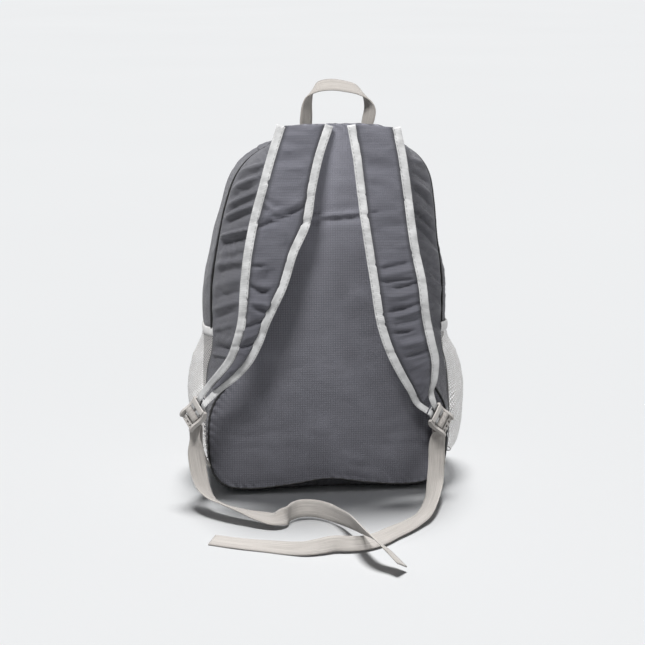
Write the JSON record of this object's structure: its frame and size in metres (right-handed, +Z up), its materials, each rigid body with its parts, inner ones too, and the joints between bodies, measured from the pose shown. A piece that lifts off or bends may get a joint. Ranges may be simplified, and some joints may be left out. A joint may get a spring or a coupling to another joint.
{
  "type": "packable backpack",
  "caption": "Packable cloth backpack standing upright, seen from its back panel, with shoulder straps, ladder-lock buckles, mesh side pockets and a carry handle.",
  "frame": {"origin": "middle of the bottom of the bag's box, its two free tails left out", "axes": "+Z up, -Y out of the back panel and its straps, +X to the right of someone who looks at the back panel"},
  "size_m": [0.356, 0.4356, 0.4935],
  "materials": {
    "ripstop": "ripstop weave, matt",
    "cloth": "thin woven nylon, satin",
    "trim": "ribbed binding tape, matt",
    "webbing": "flat woven webbing, matt",
    "mesh": "open knitted mesh, matt",
    "buckle": "moulded plastic, satin",
    "zip": "coil zip and piping, satin"
  },
  "bodies": {
    "root": {"back_panel": "ripstop", "front_panel": "cloth", "bottom_panel": "cloth", "top_panel": "cloth", "front_top": "cloth", "zip": "zip", "zip_slider": "zip", "piping": "zip", "handle": "webbing", "side_panel_left": "cloth", "front_side_left": "cloth", "mesh_pocket_left": "mesh", "pocket_hem_left": "trim", "strap_left": "ripstop", "strap_trim_left_outer": "trim", "strap_trim_left_inner": "trim", "buckle_left": "buckle", "lower_webbing_left": "webbing", "tail_left": "webbing", "side_panel_right": "cloth", "front_side_right": "cloth", "mesh_pocket_right": "mesh", "pocket_hem_right": "trim", "strap_right": "ripstop", "strap_trim_right_outer": "trim", "strap_trim_right_inner": "trim", "buckle_right": "buckle", "lower_webbing_right": "webbing", "tail_right": "webbing"}
  },
  "joints": []
}
